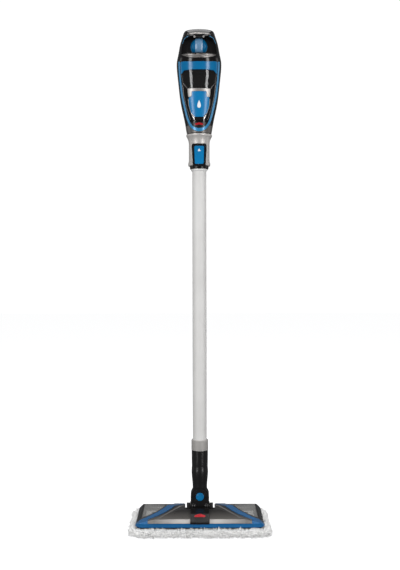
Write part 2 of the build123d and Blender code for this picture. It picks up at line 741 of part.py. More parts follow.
def foot_screws():
    """Six screws between base and cover."""
    out = []
    for x, y in screw_spots():
        screw = rod("z", (x, y), 3.2, 19.3, 20.8) + rod("z", (x, y), 1.6, 20.5, 28.5)
        screw -= Pos(x, y, 19.3) * Box(4.4, 1.0, 1.6)
        out.append(screw - Pos(x, y, 19.3) * Box(1.0, 4.4, 1.6))
    return Compound(children=out)


def mop_pad():
    """Microfibre pad under the head."""
    body = prism_z(RectangleRounded(PAD_X, PAD_Y, PAD_R), 0, PAD_Z)
    return fillet(body.edges().group_by(Axis.Z)[-1], 6.0)


# ---- assembly ---------------------------------------------------------------------------------
def build_handset(parts):
    """Handset, tank and their moving pieces."""
    solid = hull(0.0)
    room = cavity()
    parts["front_housing"] = front_housing(solid, room)
    parts["rear_housing"] = rear_housing(solid, room)
    parts["lower_fairing"] = lower_fairing()
    parts["bay_trim"] = bay_trim()
    parts["bay_apron"] = bay_apron()
    parts["recess_liner"] = recess_liner()
    parts["recess_lip"] = recess_lip()
    parts["top_trim"] = top_trim()
    parts["grip_inlay"] = grip_inlay()
    parts["spigot"] = spigot()
    parts["cord_gland"] = cord_gland()
    parts["housing_screws"] = housing_screws()
    parts["boiler"] = boiler()
    parts["pump"] = pump()
    parts["water_hose"] = water_hose()
    parts["control_board"] = control_board()
    parts["trigger"] = trigger()
    parts["trigger_pin"] = trigger_pin()
    parts["trigger_spring"] = trigger_spring()
    parts["microswitch"] = microswitch()
    parts["power_button"] = round_button(42.0, 6.0)
    parts["mode_button"] = round_button(58.0, 5.0)
    parts["tank_latch"] = tank_latch()
    parts["latch_spring"] = latch_spring()
    parts["cord_hook_upper"] = cord_hook_upper()
    parts["tank_shell"] = tank_shell()
    parts["tank_collar"] = tank_collar()
    parts["tank_panel"] = tank_panel()
    parts["tank_ledge"] = tank_ledge()
    parts["fill_cap"] = fill_cap()
    parts["outlet_valve"] = outlet_valve()


def build_wand(parts):
    """Collar, tube, neck and knuckle."""
    parts["collar_shell"] = collar_shell()
    parts["release_bezel"] = release_bezel()
    parts["release_button"] = release_button()
    parts["release_spring"] = release_spring()
    parts["ring_dark"] = ring_dark()
    parts["ring_light"] = ring_light()
    parts["wand_tube"] = wand_tube()
    parts["wand_hose"] = wand_hose()
    parts["cord_hook_lower"] = cord_hook_lower()
    parts["ferrule"] = ferrule()
    parts["neck"] = neck()
    parts["swivel_fork"] = swivel_fork()
    parts["tilt_pin"] = tilt_pin()
    parts["pin_cap"] = pin_cap()
    parts["pitch_pin"] = pitch_pin()


def build_head(parts):
    """Floor head and pad."""
    form = head_form(0.0)
    inner = head_form(-COVER_WALL) + block(-147.6, 147.6, -72.6, 72.6, 22, 24) & head_form(-COVER_WALL)
    parts["foot_base"] = foot_base()
    parts["foot_cover"] = foot_cover(form, inner)
    parts["foot_trim"] = foot_trim()
    parts["front_strips"] = front_strips()
    parts["end_cap_left"] = end_cap(1, form, inner)
    parts["end_cap_right"] = end_cap(-1, form, inner)
    parts["window_left"] = window(1, form, inner)
    parts["window_right"] = window(-1, form, inner)
    parts["badge_block"] = badge_block()
    parts["steam_manifold"] = steam_manifold()
    parts["hook_strips"] = hook_strips()
    parts["foot_screws"] = foot_screws()
    parts["mop_pad"] = mop_pad()


def main():
    parts = {}
    build_head(parts)
    build_wand(parts)
    build_handset(parts)
    os.makedirs("parts", exist_ok=True)
    for name, shape in parts.items():
        export_step(shape, os.path.join("parts", name + ".step"))
    print(len(parts), "nodes")


main()
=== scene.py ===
"""Upright steam mop: finishes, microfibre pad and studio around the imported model."""

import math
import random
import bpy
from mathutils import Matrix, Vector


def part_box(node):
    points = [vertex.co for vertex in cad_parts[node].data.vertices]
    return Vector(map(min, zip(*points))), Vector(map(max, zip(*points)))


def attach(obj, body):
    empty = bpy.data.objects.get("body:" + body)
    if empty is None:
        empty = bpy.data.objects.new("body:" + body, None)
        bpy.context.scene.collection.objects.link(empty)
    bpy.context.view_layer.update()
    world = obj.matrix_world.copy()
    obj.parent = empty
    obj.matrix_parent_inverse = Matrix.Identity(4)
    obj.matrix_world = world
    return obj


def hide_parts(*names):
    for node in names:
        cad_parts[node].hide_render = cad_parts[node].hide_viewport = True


bl_info = {
    "name": "Steam Mop Builder",
    "version": (1, 0, 0),
    "blender": (4, 5, 0),
    "location": "View3D > Sidebar > Steam Mop",
    "description": "Dresses the packed steam mop with finishes, a microfibre pad and a studio",
    "category": "Object",
}

import bmesh
import bpy
from mathutils import Vector, noise

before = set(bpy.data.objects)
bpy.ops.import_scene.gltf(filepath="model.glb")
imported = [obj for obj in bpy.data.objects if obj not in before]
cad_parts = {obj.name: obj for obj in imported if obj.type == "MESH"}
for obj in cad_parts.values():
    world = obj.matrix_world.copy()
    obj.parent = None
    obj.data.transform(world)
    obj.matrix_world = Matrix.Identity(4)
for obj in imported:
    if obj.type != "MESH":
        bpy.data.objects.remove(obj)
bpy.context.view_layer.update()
MM = 0.001
FRONT, DOWN = (0, 1, 0), (0, 0, -1)
SINK = 0.3 * MM
LINE_THICK = 0.12 * MM
RIM_THICK = 0.25 * MM
MARK_THICK = 0.15 * MM
PAD_INSET = 4.0 * MM
PAD_CORNER = 25.0 * MM
PAD_RIM = 4.0 * MM
PAD_SQUEEZE = 5.0 * MM
PUFF_PRESSURE = 4.0
PUFF_FRAMES = 20
ROOT_DEPTH = 0.8 * MM
FLOOR_GAP = 0.2 * MM
TUFT_SIDES = 4
DROP_POINTS = 20
FLOOR_SIZE = 16.0


# ---------------------------------------------------------------- shader maths
class Wire:
    """A node's output that takes part in sums, so that shader maths reads as plain Python."""

    def __init__(self, shade, socket):
        self.shade = shade
        self.socket = socket

    def _sum(self, operation, *terms):
        return self.shade.maths(operation, *terms)

    def __add__(self, other):
        return self._sum("ADD", self, other)

    def __radd__(self, other):
        return self._sum("ADD", other, self)

    def __sub__(self, other):
        return self._sum("SUBTRACT", self, other)

    def __rsub__(self, other):
        return self._sum("SUBTRACT", other, self)

    def __mul__(self, other):
        return self._sum("MULTIPLY", self, other)

    def __gt__(self, other):
        return self._sum("GREATER_THAN", self, other)

    def __lt__(self, other):
        return self._sum("LESS_THAN", self, other)

    def __abs__(self):
        return self._sum("ABSOLUTE", self)


class Shade:
    """One material and the nodes that feed its Principled shader."""

    def __init__(self, name):
        self.material = bpy.data.materials.new(name)
        self.material.use_nodes = True
        self.tree = self.material.node_tree
        self.tree.nodes.clear()
        self.surface = self.tree.nodes.new("ShaderNodeBsdfPrincipled")
        out = self.tree.nodes.new("ShaderNodeOutputMaterial")
        self.tree.links.new(self.surface.outputs[0], out.inputs[0])
        self.place = None

    def feed(self, socket, value):
        """Links a wire to a socket, or writes a plain value on it."""
        if isinstance(value, Wire):
            self.tree.links.new(value.socket, socket)
        else:
            socket.default_value = value

    def node(self, kind, settings=None, inputs=None, output=0):
        """Adds a node: its settings first, then its inputs by name or number."""
        made = self.tree.nodes.new("ShaderNode" + kind)
        for key, value in (settings or {}).items():
            setattr(made, key, value)
        for key, value in (inputs or {}).items():
            self.feed(made.inputs[key], value)
        return Wire(self, made.outputs[output])

    def maths(self, operation, *terms):
        """One Math node."""
        return self.node("Math", {"operation": operation}, dict(enumerate(terms)))

    def clamp(self, value, low=0.0, high=1.0):
        """A value held between two limits."""
        return self.node("Clamp", {}, {0: value, 1: low, 2: high})

    def where(self):
        """Object coordinates, made once."""
        if self.place is None:
            self.place = self.node("TexCoord", output=3)
        return self.place

    def axis(self, index):
        """One coordinate of the place on the object, in metres."""
        return self.node("SeparateXYZ", {}, {0: self.where()}, index)

    def stretched(self, scale):
        """Object coordinates with each axis scaled on its own."""
        return self.node("Mapping", {}, {"Vector": self.where(), "Scale": scale})

    def noise(self, scale, detail=2.0, rough=0.5, vector=None):
        """Fractal noise from 0 to 1."""
        inputs = {"Vector": vector or self.where(), "Scale": scale, "Detail": detail, "Roughness": rough}
        return self.node("TexNoise", {}, inputs)

    def cells(self, scale, randomness=1.0):
        """Distance to the nearest cell point."""
        return self.node("TexVoronoi", {}, {"Vector": self.where(), "Scale": scale, "Randomness": randomness})

    def mix(self, factor, first, second):
        """Two colours mixed by a factor."""
        made = self.tree.nodes.new("ShaderNodeMix")
        made.data_type = "RGBA"
        self.feed(made.inputs[0], factor)
        self.feed(made.inputs[6], first)
        self.feed(made.inputs[7], second)
        return Wire(self, made.outputs[2])

    def set(self, **values):
        """Writes the Principled shader's sockets; underscores stand for spaces."""
        for key, value in values.items():
            self.feed(self.surface.inputs[key.replace("_", " ")], value)

    def relief(self, height, strength, distance, edge=0.0):
        """Bump from a height, over softened edges where edge is a radius in metres."""
        inputs = {"Strength": strength, "Distance": distance, "Height": height}
        if edge:
            inputs["Normal"] = self.node("Bevel", {"samples": 4}, {"Radius": edge})
        self.set(Normal=self.node("Bump", {}, inputs))


def shaded(colour, factor):
    """A colour made darker or lighter, worked out in Python."""
    return tuple(min(1.0, c * factor) for c in colour[:3]) + (1.0,)


# ---------------------------------------------------------------- finishes
def moulded(name, colour, rough=0.25, coat=0.0, edge=0.5 * MM, grain=900.0, depth=0.006):
    """Moulded plastic: slight colour drift, handling haze, fine grain and soft edges."""
    s = Shade(name)
    cloud = s.noise(14.0, 3.0)
    s.set(Base_Color=s.mix(s.clamp((cloud - 0.35) * 2.2), shaded(colour, 0.86), shaded(colour, 1.1)))
    smear = s.noise(38.0, 4.0, 0.6)
    s.set(Roughness=s.clamp(rough + (smear - 0.5) * rough * 0.7, 0.03, 1.0))
    s.surface.inputs["Specular IOR Level"].default_value = 0.3
    s.surface.inputs["Coat Weight"].default_value = coat
    s.surface.inputs["Coat Roughness"].default_value = 0.06
    s.relief(s.noise(grain, 2.0), depth, 0.4 * MM, edge)
    return s


def painted_metal(name, colour, rough=0.28, metal=0.75, coat=0.5, edge=0.5 * MM):
    """Metallic paint: bright flakes in a clear coat."""
    s = Shade(name)
    flake = s.cells(5200.0)
    drift = s.noise(11.0, 3.0)
    tint = s.clamp(0.5 + (flake - 0.45) * 0.6 + (drift - 0.5) * 0.7)
    s.set(Base_Color=s.mix(tint, shaded(colour, 0.78), shaded(colour, 1.18)))
    s.set(Roughness=s.clamp(rough + (s.noise(46.0, 4.0) - 0.5) * 0.14, 0.04, 1.0))
    s.set(Metallic=metal)
    s.surface.inputs["Coat Weight"].default_value = coat
    s.surface.inputs["Coat Roughness"].default_value = 0.08
    s.relief(s.noise(1500.0, 2.0), 0.02, 0.3 * MM, edge)
    return s


def silver_with_painted_reflection(name, colour):
    """Silver paint with a darker cloud along the middle of a thin trim, a painted dark reflection."""
    s = painted_metal(name, colour, 0.34, 0.6, 0.0, 0.3 * MM)
    # painted reflection: stretched noise darkens the silver in streaks
    cloud = s.noise(1.0, 3.0, 0.6, s.stretched((90, 90, 260)))
    s.set(Base_Color=s.mix(s.clamp((cloud - 0.38) * 3.2), shaded(colour, 0.35), shaded(colour, 1.25)))
    return s


def cover_paint(name, colour):
    """Graphite paint with a painted highlight that lightens it towards the front edge of the head."""
    s = painted_metal(name, colour, 0.3, 0.5, 0.15)
    # painted highlight: the graphite is mixed towards a light warm grey near the front edge, where the cover
    # catches the light
    front_sheen_mask = s.clamp((s.axis(1) + 0.030) * -26.0)
    drift = s.clamp(0.5 + (s.noise(40.0, 3.0) - 0.5) * 0.8)
    dark = s.mix(drift, shaded(colour, 0.7), shaded(colour, 1.2))
    s.set(Base_Color=s.mix(front_sheen_mask * 0.9, dark, (0.20, 0.185, 0.17, 1.0)))
    return s


def strip_metal(name, colour):
    """Silver paint with a painted highlight fall-off: it fades to graphite towards the outer ends and dims
    near the middle.
    """
    s = painted_metal(name, colour, 0.3, 0.55, 0.0)
    across = abs(s.axis(0))
    # painted highlight fall-off: the silver darkens towards the outer ends and the middle, where the ridge's
    # highlight fades
    highlight_falloff = s.clamp((across - 0.045) * 16.0) * 0.8 + s.clamp((0.034 - across) * 60.0) * 0.5
    drift = s.noise(60.0, 3.0)
    tint = s.mix(s.clamp(highlight_falloff + (drift - 0.5) * 0.2), shaded(colour, 0.8), shaded(colour, 0.2))
    s.set(Base_Color=tint)
    return s


def brushed(name, colour, rough, scale, edge=0.3 * MM):
    """Metal with fine lines along the longest side."""
    s = Shade(name)
    lines = s.noise(1.0, 3.0, 0.6, s.stretched(scale))
    s.set(Base_Color=s.mix(s.clamp(lines), shaded(colour, 0.9), shaded(colour, 1.08)))
    s.set(Roughness=s.clamp(rough + (lines - 0.5) * 0.2, 0.05, 1.0), Metallic=1.0)
    s.relief(lines, 0.03, 0.2 * MM, edge)
    return s


def see_through(name, tint, rough=0.05, alpha=0.5):
    """Clear tinted polycarbonate with faint flow haze."""
    s = Shade(name)
    haze = s.noise(30.0, 4.0)
    s.set(Base_Color=s.mix(s.clamp(haze), shaded(tint, 0.8), shaded(tint, 1.2)))
    s.set(Roughness=s.clamp(rough + (haze - 0.5) * 0.05, 0.01, 1.0))
    s.set(Alpha=alpha)
    s.surface.inputs["Coat Weight"].default_value = 0.25
    s.surface.inputs["Coat Roughness"].default_value = 0.03
    s.relief(s.noise(120.0, 2.0), 0.001, 0.3 * MM, 0.4 * MM)
    return s


def soft_touch(name, colour, rough=0.62):
    """Rubber or overmould with a fine leather-like grain."""
    s = Shade(name)
    s.set(Base_Color=s.mix(s.clamp(s.noise(24.0, 3.0)), shaded(colour, 0.8), shaded(colour, 1.25)))
    s.set(Roughness=s.clamp(rough + (s.noise(60.0, 3.0) - 0.5) * 0.25, 0.2, 1.0))
    s.relief(s.cells(1700.0), 0.25, 0.25 * MM, 0.5 * MM)
    return s


def cast_metal(name, colour):
    """Die-cast metal."""
    s = Shade(name)
    s.set(Base_Color=s.mix(s.clamp(s.noise(90.0, 4.0)), shaded(colour, 0.8), shaded(colour, 1.1)))
    s.set(Roughness=s.clamp(0.45 + (s.noise(220.0, 3.0) - 0.5) * 0.3, 0.2, 1.0), Metallic=0.9)
    s.relief(s.noise(900.0, 3.0), 0.15, 0.3 * MM, 0.4 * MM)
    return s


def hook_tape(name, colour):
    """Dense stubble of a hook strip, with painted shade: lighter on the raised hook tips, darker between
    them.
    """
    s = Shade(name)
    stub = s.cells(900.0, randomness=0.6)
    # painted shade: the colour is lighter at the raised cell centres and darker in the hollows between hooks
    s.set(Base_Color=s.mix(s.clamp(stub * 2.0), shaded(colour, 1.6), shaded(colour, 0.5)))
    s.set(Roughness=s.clamp(0.7 + stub * 0.2))
    s.relief(1.0 - stub, 0.6, 0.6 * MM)
    return s


def circuit(name):
    """Green board with pale pads and dark parts standing on it."""
    s = Shade(name)
    pads = s.cells(160.0, randomness=0.3) < 0.18
    high = s.axis(1) > 0.0098
    tint = s.mix(pads, (0.02, 0.16, 0.06, 1), (0.62, 0.5, 0.2, 1))
    s.set(Base_Color=s.mix(high, tint, (0.03, 0.03, 0.035, 1)))
    s.set(Roughness=s.clamp(0.35 + s.noise(80.0) * 0.2))
    s.relief(s.noise(300.0), 0.1, 0.2 * MM, 0.3 * MM)
    return s


def latch_blue(name, colour, pale):
    """Deep blue latch with a pale ribbed stripe down its middle; the ribs are relief and the pale tone is a
    painted highlight.
    """
    s = Shade(name)
    across = abs(s.axis(0))
    stripe = s.clamp((0.0088 - across) * 4000.0)
    drift = s.noise(16.0, 3.0)
    blue = s.mix(s.clamp((drift - 0.35) * 2.2), shaded(colour, 0.8), shaded(colour, 1.1))
    fleck = s.noise(260.0, 4.0, 0.7)
    # painted highlight: the pale tone of the middle stripe stands in for the dome's vertical highlight
    light = s.mix(s.clamp(fleck), shaded(pale, 0.78), shaded(pale, 1.2))
    s.set(Base_Color=s.mix(stripe, blue, light))
    s.set(Roughness=s.clamp(0.2 + stripe * 0.18 + (s.noise(50.0, 3.0) - 0.5) * 0.08, 0.05, 1.0))
    ribs = s.maths("SINE", s.axis(2) * 2400.0) * stripe
    s.surface.inputs["Coat Weight"].default_value = 0.5
    s.relief(ribs * 0.5 + s.noise(900.0) * 0.05, 0.5, 0.4 * MM, 0.5 * MM)
    return s


def microfibre(name, colour):
    """White looped pile: soft, slightly grey in random patches, a painted shade of its depths."""
    s = Shade(name)
    clump = s.noise(120.0, 4.0, 0.6)
    fibre = s.noise(1800.0, 3.0, 0.7)
    # painted shade: random patches darkened towards grey for the pile's depths
    grey_depth_shade = s.clamp((s.noise(26.0, 3.0) - 0.62) * 5.0)
    base = s.mix(s.clamp((clump - 0.3) * 2.0), shaded(colour, 0.92), shaded(colour, 1.06))
    s.set(Base_Color=s.mix(grey_depth_shade * 0.12, base, shaded(colour, 0.62)))
    s.set(Roughness=s.clamp(0.85 + (fibre - 0.5) * 0.2))
    s.surface.inputs["Sheen Weight"].default_value = 0.35
    s.surface.inputs["Sheen Roughness"].default_value = 0.5
    s.relief(fibre * 0.6 + clump, 0.5, 0.8 * MM)
    return s


def paint(material, *nodes):
    """Gives CAD nodes a material."""
    for name in nodes:
        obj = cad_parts[name]
        if not obj.material_slots:
            obj.data.materials.append(material)
        for held in obj.material_slots:
            held.material = material


# ---------------------------------------------------------------- modelling helpers
def rest():
    """Object mode with nothing selected."""
    if bpy.context.object and bpy.context.object.mode != "OBJECT":
        bpy.ops.object.mode_set(mode="OBJECT")
    bpy.ops.object.select_all(action="DESELECT")


def take(obj):
    """Makes one object the only selected and active one."""
    rest()
    obj.select_set(True)
    bpy.context.view_layer.objects.active = obj


def settle(obj):
    """Puts the object's place, turn and size into its mesh."""
    take(obj)
    bpy.ops.object.transform_apply(location=True, rotation=True, scale=True)


def apply_all(obj):
    """Applies every modifier in order."""
    take(obj)
    for modifier in list(obj.modifiers):
        bpy.ops.object.modifier_apply(modifier=modifier.name)


def pick(obj, test, kind="FACE"):
    """Enters edit mode with only the faces or edges that pass a test selected."""
    take(obj)
    bpy.ops.object.mode_set(mode="EDIT")
    bpy.ops.mesh.select_mode(type=kind)
    bpy.ops.mesh.select_all(action="DESELECT")
    bm = bmesh.from_edit_mesh(obj.data)
    for item in bm.faces if kind == "FACE" else bm.edges:
        if test(item):
            item.select_set(True)
    bm.select_flush_mode()
    bmesh.update_edit_mesh(obj.data)


def done():
    """Leaves edit mode."""
    bpy.ops.object.mode_set(mode="OBJECT")


def touch(node, at, way):
    """First point of a CAD node met from outside along a direction."""
    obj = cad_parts[node]
    back = obj.matrix_world.inverted()
    start = Vector(at) - Vector(way) * 0.5
    hit, place, _, _ = obj.ray_cast(back @ start, (back.to_3x3() @ Vector(way)).normalized())
    if not hit:
        raise RuntimeError("nothing of " + node + " below " + str(tuple(at)))
    return obj.matrix_world @ place


def laid(name, flats, node, way, thick, sink=SINK):
    """Thin solid plate whose outline points are laid onto a CAD node."""
    way = Vector(way)
    ring = [touch(node, at, way) for at in flats]
    middle = touch(node, sum((Vector(at) for at in flats), Vector()) / len(flats), way)
    count = len(ring)
    top = [p - way * thick for p in ring] + [middle - way * thick]
    low = [p + way * sink for p in ring] + [middle + way * sink]
    faces = []
    for k in range(count):
        n = (k + 1) % count
        faces.append((k, n, count))
        faces.append((count + 1 + n, count + 1 + k, 2 * count + 1))
        faces.append((n, k, count + 1 + k, count + 1 + n))
    return solid(name, top + low, faces)


def ribbon(name, spine, node, way, width, thick, sink=SINK):
    """Thin band that follows a line of points laid onto a CAD node."""
    way = Vector(way)
    points = [Vector(p) for p in spine]
    verts, faces = [], []
    for k, at in enumerate(points):
        run = (points[min(k + 1, len(points) - 1)] - points[max(k - 1, 0)]).normalized()
        off = run.cross(way).normalized() * width / 2
        a, b = touch(node, at + off, way), touch(node, at - off, way)
        verts += [a - way * thick, b - way * thick, b + way * sink, a + way * sink]
    for k in range(len(points) - 1):
        base = 4 * k
        for j in range(4):
            faces.append((base + j, base + (j + 1) % 4, base + 4 + (j + 1) % 4, base + 4 + j))
    end = 4 * (len(points) - 1)
    faces += [(3, 2, 1, 0), (end, end + 1, end + 2, end + 3)]
    return solid(name, verts, faces)


def solid(name, verts, faces):
    """Mesh object with its normals turned outwards."""
    mesh = bpy.data.meshes.new(name)
    mesh.from_pydata([tuple(v) for v in verts], [], faces)
    obj = bpy.data.objects.new(name, mesh)
    bpy.context.scene.collection.objects.link(obj)
    take(obj)
    bpy.ops.object.mode_set(mode="EDIT")
    bpy.ops.mesh.select_all(action="SELECT")
    bpy.ops.mesh.normals_make_consistent(inside=False)
    done()
    return obj


def dress(obj, material, body):
    """Gives a new piece its material and the body that it moves with."""
    obj.data.materials.append(material)
    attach(obj, body)


# ---------------------------------------------------------------- sizes and colours
class MopSizes(bpy.types.PropertyGroup):
    """Sizes that a user would change."""

    pad_voxel: bpy.props.FloatProperty(
        name="Pad voxel", description="Size of the pad's remeshed cells", default=5.0 * MM, unit="LENGTH")
    pad_swell: bpy.props.FloatProperty(
        name="Pad swell", description="Furthest a point of the pad may puff out",
        default=3.0 * MM, unit="LENGTH")
    tuft_length: bpy.props.FloatProperty(
        name="Tuft length", description="Mean length of the pile", default=7.0 * MM, unit="LENGTH")
    tuft_width: bpy.props.FloatProperty(
        name="Tuft width", description="Width of a tuft at its root", default=2.3 * MM, unit="LENGTH")
    seed: bpy.props.IntProperty(name="Seed", description="Start of the random draws", default=7)


class MopColours(bpy.types.PropertyGroup):
    """Colours that a user would change."""

    blue: bpy.props.FloatVectorProperty(
        name="Blue", description="Gloss blue of the trims",
        default=(0.002, 0.215, 0.51), size=3, subtype="COLOR")
    black: bpy.props.FloatVectorProperty(
        name="Black", description="Gloss black of the shells",
        default=(0.0055, 0.005, 0.0052), size=3, subtype="COLOR")
    silver: bpy.props.FloatVectorProperty(
        name="Silver", description="Metallic silver paint",
        default=(0.50, 0.475, 0.455), size=3, subtype="COLOR")
    graphite: bpy.props.FloatVectorProperty(
        name="Graphite", description="Metallic graphite paint",
        default=(0.040, 0.037, 0.035), size=3, subtype="COLOR")
    tube: bpy.props.FloatVectorProperty(
        name="Tube", description="Satin tube", default=(0.67, 0.66, 0.645), size=3, subtype="COLOR")
    pad: bpy.props.FloatVectorProperty(
        name="Pad", description="Microfibre pile", default=(0.93, 0.925, 0.915), size=3, subtype="COLOR")


class MopStage(bpy.types.PropertyGroup):
    """Camera and lights that a user would change."""

    distance: bpy.props.FloatProperty(
        name="Distance", description="Camera distance from the upright axis", default=1.850, unit="LENGTH")
    height: bpy.props.FloatProperty(
        name="Height", description="Camera height",
        default=0.634, unit="LENGTH")
    aside: bpy.props.FloatProperty(
        name="Aside", description="Camera offset along X",
        default=0.0014, unit="LENGTH")
    pitch: bpy.props.FloatProperty(
        name="Pitch", description="How far the camera looks down",
        default=math.radians(1.624), subtype="ANGLE")
    roll: bpy.props.FloatProperty(
        name="Roll", description="How far the camera leans sideways",
        default=math.radians(0.112), subtype="ANGLE")
    lens: bpy.props.FloatProperty(
        name="Lens", description="Focal length",
        default=48.92, subtype="DISTANCE_CAMERA")
    key: bpy.props.FloatProperty(
        name="Key", description="Power of each strip light",
        default=36.0, unit="POWER")
    fill: bpy.props.FloatProperty(
        name="Fill", description="Strength of the even light all around",
        default=0.17)


# ---------------------------------------------------------------- operators
class MOP_OT_handset(bpy.types.Operator):
    """Finish the handset's shells, trims and inner parts"""

    bl_idname = "mop.handset"
    bl_label = "Handset Finishes"

    def execute(self, context):
        c = context.scene.mop_colours
        paint(moulded("handset_black", c.black, 0.14, depth=0.004).material, "front_housing")
        satin = moulded("handset_satin", shaded(c.black, 2.0), 0.42, grain=700.0, depth=0.1)
        paint(satin.material, "rear_housing")
        paint(painted_metal("fairing_grey", shaded(c.graphite, 3.2), 0.4, 0.5, 0.0).material, "lower_fairing")
        paint(moulded("apron_dark", shaded(c.black, 2.2), 0.3).material, "bay_apron")
        paint(silver_with_painted_reflection("handset_silver", shaded(c.silver, 0.62)).material, "recess_lip", "top_trim")
        paint(painted_metal("bay_blue", (0.030, 0.23, 0.46), 0.3, 0.15, 0.2).material, "bay_trim")
        recess = moulded("recess_dark", shaded(c.black, 1.3), 0.3, grain=600.0)
        paint(recess.material, "recess_liner", "spigot")
        rubber = soft_touch("grip_rubber", (0.02, 0.02, 0.021))
        paint(rubber.material, "grip_inlay", "cord_gland", "water_hose")
        paint(latch_blue("latch_blue", shaded(c.blue, 0.62), (0.115, 0.23, 0.37)).material, "tank_latch")
        paint(moulded("power_blue", c.blue, 0.25, 0.4).material, "power_button")
        paint(moulded("key_grey", (0.16, 0.16, 0.17), 0.35).material, "mode_button", "trigger")
        paint(moulded("hook_black", (0.02, 0.02, 0.021), 0.42, depth=0.1).material, "cord_hook_upper")
        paint(brushed("small_steel", (0.6, 0.6, 0.6), 0.3, (400, 400, 60)).material, "trigger_pin",
              "housing_screws", "trigger_spring", "latch_spring")
        paint(cast_metal("boiler_cast", (0.55, 0.55, 0.56)).material, "boiler")
        paint(moulded("inner_white", (0.72, 0.72, 0.69), 0.45).material, "pump", "microswitch")
        paint(circuit("board_green").material, "control_board")
        return {"FINISHED"}


class MOP_OT_tank(bpy.types.Operator):
    """Finish the water tank"""

    bl_idname = "mop.tank"
    bl_label = "Tank Finishes"

    def execute(self, context):
        c = context.scene.mop_colours
        paint(see_through("tank_smoke", (0.010, 0.0095, 0.009), 0.07, 0.6).material, "tank_shell")
        paint(moulded("band_blue", shaded(c.blue, 0.62), 0.2, 0.1, depth=0.004).material, "tank_collar")
        paint(moulded("shield_blue", shaded(c.blue, 0.86), 0.24, 0.1, depth=0.004).material, "tank_panel")
        paint(painted_metal("ledge_silver", shaded(c.silver, 0.72), 0.36, 0.5, 0.0).material, "tank_ledge")
        paint(soft_touch("stopper_rubber", (0.03, 0.03, 0.03)).material, "fill_cap")
        paint(moulded("valve_white", (0.7, 0.7, 0.68), 0.4).material, "outlet_valve")
        return {"FINISHED"}


class MOP_OT_wand(bpy.types.Operator):
    """Finish the collar, tube, neck and knuckle"""

    bl_idname = "mop.wand"
    bl_label = "Wand Finishes"

    def execute(self, context):
        c = context.scene.mop_colours
        paint(painted_metal("collar_silver", c.silver, 0.42, 0.3, 0.0).material, "collar_shell")
        paint(moulded("bezel_black", c.black, 0.28).material, "release_bezel", "ring_dark")
        button = moulded("button_blue", shaded(c.blue, 0.8), 0.2, 0.3, depth=0.004)
        paint(button.material, "release_button", "pin_cap")
        paint(moulded("ring_white", (0.78, 0.78, 0.76), 0.3).material, "ring_light")
        paint(painted_metal("tube_satin", c.tube, 0.6, 0.05, 0.0).material, "wand_tube")
        paint(painted_metal("ferrule_grey", (0.36, 0.345, 0.33), 0.5, 0.15, 0.0).material, "ferrule")
        neck = moulded("neck_black", shaded(c.black, 1.2), 0.34, 0.1, grain=500.0, depth=0.003)
        paint(neck.material, "neck", "swivel_fork")
        paint(soft_touch("hose_rubber", (0.02, 0.02, 0.02)).material, "wand_hose")
        paint(moulded("lower_hook_black", (0.02, 0.02, 0.021), 0.42, depth=0.1).material, "cord_hook_lower")
        paint(brushed("pin_steel", (0.6, 0.6, 0.6), 0.3, (60, 400, 400)).material, "tilt_pin", "pitch_pin",
              "release_spring")
        return {"FINISHED"}


class MOP_OT_head(bpy.types.Operator):
    """Finish the floor head"""

    bl_idname = "mop.head"
    bl_label = "Head Finishes"

    def execute(self, context):
        c = context.scene.mop_colours
        paint(cover_paint("cover_graphite", c.graphite).material, "foot_cover")
        # painted shade: a darkened copy of the trim blue, standing in for the shadow on the head's front lip
        paint(moulded("frame_blue_painted_shade", (0.010, 0.115, 0.30), 0.22, 0.3, depth=0.004).material, "foot_trim")
        paint(strip_metal("strip_silver", c.silver).material, "front_strips")
        caps = moulded("cap_black", c.black, 0.3, 0.2)
        paint(caps.material, "end_cap_left", "end_cap_right", "badge_block")
        clear = see_through("window_clear", (0.50, 0.495, 0.48), 0.16, 0.30)
        paint(clear.material, "window_left", "window_right")
        paint(moulded("base_black", shaded(c.black, 1.8), 0.5, depth=0.1).material, "foot_base")
        paint(cast_metal("chamber_cast", (0.5, 0.5, 0.5)).material, "steam_manifold")
        paint(hook_tape("hook_tape", (0.05, 0.05, 0.055)).material, "hook_strips")
        paint(brushed("screw_steel", (0.6, 0.6, 0.6), 0.3, (60, 400, 400)).material, "foot_screws")
        return {"FINISHED"}


